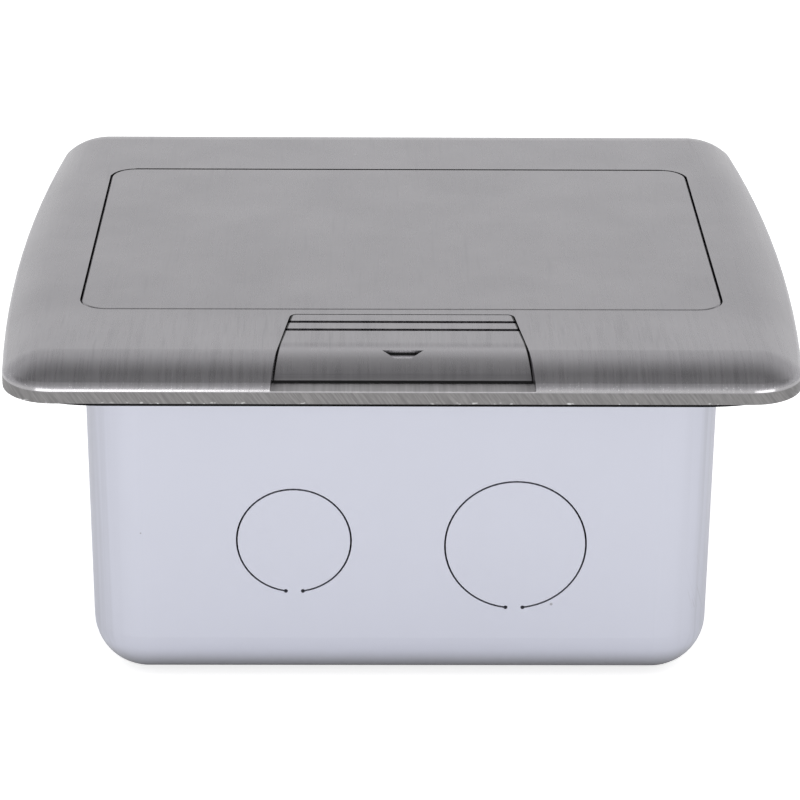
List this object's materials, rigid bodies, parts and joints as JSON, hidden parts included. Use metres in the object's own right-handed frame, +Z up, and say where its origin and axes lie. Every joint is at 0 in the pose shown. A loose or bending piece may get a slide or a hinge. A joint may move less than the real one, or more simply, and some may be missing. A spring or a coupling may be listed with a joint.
{
  "type": "floor socket box",
  "caption": "Floor socket box with a drawn steel back box, a bowed cast cover and a latched pop-up lid that carries socket outlets.",
  "frame": {"origin": "middle of the underside of the back box", "axes": "+X to the right seen from the latch side, +Y from the latch to the hinge, +Z up out of the floor"},
  "size_m": [0.1536, 0.136, 0.0746],
  "materials": {
    "galvanised_steel": "pale galvanised sheet, smooth",
    "cast_aluminium": "brushed, front to back grain",
    "zinc_steel": "zinc plated",
    "bright_steel": "polished wire and pins",
    "green_steel": "green dyed zinc",
    "black_rubber": "matt black rubber",
    "black_plastic": "fine moulded texture",
    "black_gloss": "smooth moulding",
    "white_plastic": "acetal",
    "brass": "stamped brass"
  },
  "bodies": {
    "base": {"back_box": "galvanised_steel", "screw_lugs": "galvanised_steel", "ground_screw": "green_steel", "cover_gasket": "black_rubber", "cover_frame": "cast_aluminium", "lid_seal": "black_rubber", "cover_screws": "zinc_steel", "hinge_pins": "bright_steel", "torsion_springs": "bright_steel", "latch_retainer": "zinc_steel", "retainer_screws": "zinc_steel", "latch_springs": "bright_steel"},
    "latch": {"latch_slider": "cast_aluminium", "latch_bolt": "zinc_steel", "latch_screws": "zinc_steel"},
    "popup": {"lid_plate": "cast_aluminium", "lid_screws": "zinc_steel", "socket_carrier": "black_plastic", "latch_keeper": "zinc_steel", "keeper_screws": "zinc_steel", "hinge_bushes": "white_plastic", "wiring_cover": "black_plastic", "wiring_screws": "zinc_steel", "cable_grommet": "black_rubber", "outlet_left": "black_gloss", "outlet_right": "black_gloss", "outlet_backs": "black_plastic", "line_contacts": "brass", "neutral_contacts": "brass", "ground_contacts": "brass", "outlet_screws": "zinc_steel"}
  },
  "joints": [
    {"name": "lid_hinge", "type": "hinge", "parent": "base", "child": "popup", "pos_m": [0, 0.033, 0.069], "axis": [-1, 0, 0], "range_deg": [0, 42], "deforming": ["torsion_springs"]},
    {"name": "latch_slide", "type": "slide", "parent": "base", "child": "latch", "axis": [0, -1, 0], "range_m": [0, 0.0035], "stiffness_N_per_m": 500, "springref_m": -0.002, "deforming": ["latch_springs"]}
  ]
}
